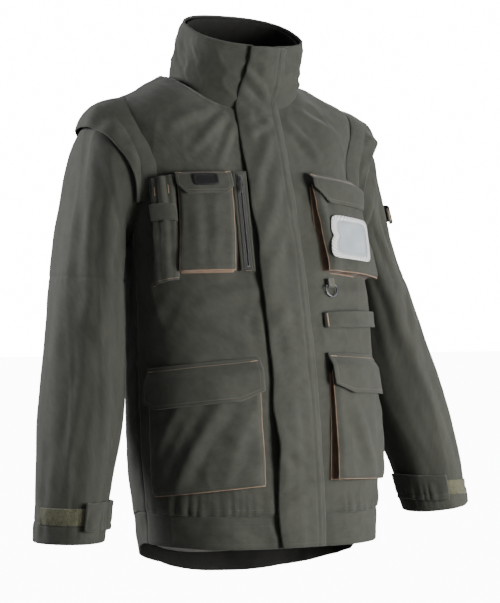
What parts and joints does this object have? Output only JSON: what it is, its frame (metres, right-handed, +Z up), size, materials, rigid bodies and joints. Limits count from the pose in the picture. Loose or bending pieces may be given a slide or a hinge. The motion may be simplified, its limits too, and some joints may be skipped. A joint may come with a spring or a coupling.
{
  "type": "work parka",
  "caption": "Padded work parka with zip-off sleeves, stand collar, storm flap over a front zip, and flapped chest and hip pockets.",
  "frame": {"origin": "midway between the shoulders, where the garment hangs on its wearer", "axes": "+Z up, -Y out of the front, +X to the wearer's left"},
  "size_m": [0.773, 0.3527, 0.9152],
  "materials": {
    "shell_cloth": "dark olive grey cotton twill",
    "lining_cloth": "quilted black nylon",
    "contrast_cloth": "tan cotton twill",
    "dark_metal": "gunmetal",
    "badge_rubber": "moulded, matt",
    "clear_plastic": "clear flexible sheet",
    "loop_tape": "woven loop tape",
    "hook_tape": "moulded hook tape",
    "zip_tape": "woven zip tape",
    "webbing": "narrow woven webbing"
  },
  "bodies": {
    "root": {"armhole_zip_body_left": "zip_tape", "armhole_zip_body_right": "zip_tape", "back_panel": "shell_cloth", "chest_zip_tape": "zip_tape", "chest_zip_welt": "shell_cloth", "collar": "shell_cloth", "collar_lining": "lining_cloth", "d_ring_webbing": "webbing", "front_left_panel": "shell_cloth", "front_right_panel": "shell_cloth", "hem_band_back": "shell_cloth", "hem_band_front_left": "shell_cloth", "hem_band_front_right": "shell_cloth", "id_pocket_front": "shell_cloth", "id_pocket_gusset": "contrast_cloth", "id_window": "clear_plastic", "lower_left_pocket_front": "shell_cloth", "lower_left_pocket_gusset": "contrast_cloth", "lower_right_pocket_front": "shell_cloth", "lower_right_pocket_gusset": "contrast_cloth", "main_zip_retainer_box": "dark_metal", "main_zip_tape_left": "zip_tape", "main_zip_tape_right": "zip_tape", "pen_pocket": "shell_cloth", "pen_pocket_strap": "shell_cloth", "phone_pocket_front": "shell_cloth", "phone_pocket_gusset": "contrast_cloth", "quilted_lining": "lining_cloth", "shoulder_cap_left": "shell_cloth", "shoulder_cap_right": "shell_cloth", "side_tool_loop": "shell_cloth", "storm_flap_loop_tape": "loop_tape", "storm_flap_stitched_edge": "shell_cloth"},
    "storm_flap_body": {"storm_flap": "shell_cloth", "storm_flap_hook_tape": "hook_tape"},
    "main_slider_body": {"main_zip_slider": "dark_metal", "main_zip_pull": "dark_metal"},
    "chest_slider_body": {"chest_zip_slider": "dark_metal"},
    "chest_pull_body": {"chest_zip_pull": "dark_metal"},
    "phone_flap_body": {"phone_pocket_flap": "shell_cloth", "rubber_label": "badge_rubber"},
    "id_flap_body": {"id_pocket_flap": "shell_cloth"},
    "lower_right_flap_body": {"lower_right_pocket_flap": "shell_cloth"},
    "lower_left_flap_body": {"lower_left_pocket_flap": "shell_cloth"},
    "d_ring_body": {"d_ring": "dark_metal"},
    "sleeve_right_body": {"upper_sleeve_right": "shell_cloth", "lower_sleeve_right": "shell_cloth", "sleeve_right_lining": "lining_cloth", "cuff_right": "shell_cloth", "cuff_loop_tape_right": "loop_tape", "armhole_zip_sleeve_right": "zip_tape"},
    "sleeve_left_body": {"upper_sleeve_left": "shell_cloth", "lower_sleeve_left": "shell_cloth", "sleeve_left_lining": "lining_cloth", "cuff_left": "shell_cloth", "cuff_loop_tape_left": "loop_tape", "armhole_zip_sleeve_left": "zip_tape", "sleeve_pen_loop": "shell_cloth"},
    "cuff_tab_right_body": {"cuff_tab_right": "shell_cloth"},
    "cuff_tab_left_body": {"cuff_tab_left": "shell_cloth"}
  },
  "joints": [
    {"name": "storm_flap_swing", "type": "hinge", "parent": "root", "child": "storm_flap_body", "pos_m": [0.037, -0.12134, 0], "axis": [0, 0.1628, 0.9867], "range_deg": [0, 100]},
    {"name": "main_zip_run", "type": "hinge", "parent": "root", "child": "main_slider_body", "pos_m": [0, 1.9087, -0.8399], "axis": [1, 0, 0], "range_deg": [0, 17.4]},
    {"name": "chest_zip_run", "type": "slide", "parent": "root", "child": "chest_slider_body", "axis": [-0.0468, -0.2841, -0.9577], "range_m": [0, 0.1373]},
    {"name": "chest_zip_pull_swing", "type": "hinge", "parent": "chest_slider_body", "child": "chest_pull_body", "pos_m": [-0.05262, -0.12796, -0.1517], "axis": [-0.9781, 0.2079, 0], "range_deg": [0, 150]},
    {"name": "phone_flap_swing", "type": "hinge", "parent": "root", "child": "phone_flap_body", "pos_m": [-0.11395, -0.10948, -0.14164], "axis": [-0.9724, 0.2317, -0.0279], "range_deg": [0, 120]},
    {"name": "id_flap_swing", "type": "hinge", "parent": "root", "child": "id_flap_body", "pos_m": [0.14511, -0.10025, -0.14638], "axis": [-0.9138, -0.389, 0.1167], "range_deg": [0, 120]},
    {"name": "lower_right_flap_swing", "type": "hinge", "parent": "root", "child": "lower_right_flap_body", "pos_m": [-0.15608, -0.1666, -0.44128], "axis": [-0.8377, 0.5358, -0.1061], "range_deg": [0, 120]},
    {"name": "lower_left_flap_swing", "type": "hinge", "parent": "root", "child": "lower_left_flap_body", "pos_m": [0.15843, -0.16302, -0.42977], "axis": [-0.8261, -0.5615, 0.0475], "range_deg": [0, 120]},
    {"name": "d_ring_swing", "type": "hinge", "parent": "root", "child": "d_ring_body", "pos_m": [0.08773, -0.16762, -0.31946], "axis": [-0.984, -0.1783, 0.0011], "range_deg": [0, 140]},
    {"name": "sleeve_right_run", "type": "slide", "parent": "root", "child": "sleeve_right_body", "axis": [-0.4067, 0, -0.9135], "range_m": [0, 0.16]},
    {"name": "sleeve_left_run", "type": "slide", "parent": "root", "child": "sleeve_left_body", "axis": [0.4067, 0, -0.9135], "range_m": [0, 0.16]},
    {"name": "cuff_tab_right_swing", "type": "hinge", "parent": "sleeve_right_body", "child": "cuff_tab_right_body", "pos_m": [-0.26682, -0.09126, -0.6713], "axis": [0.1745, 0.1241, 0.9768], "range_deg": [0, 85]},
    {"name": "cuff_tab_left_swing", "type": "hinge", "parent": "sleeve_left_body", "child": "cuff_tab_left_body", "pos_m": [0.26837, -0.06885, -0.65069], "axis": [0.1885, -0.1669, -0.9678], "range_deg": [0, 65]}
  ]
}
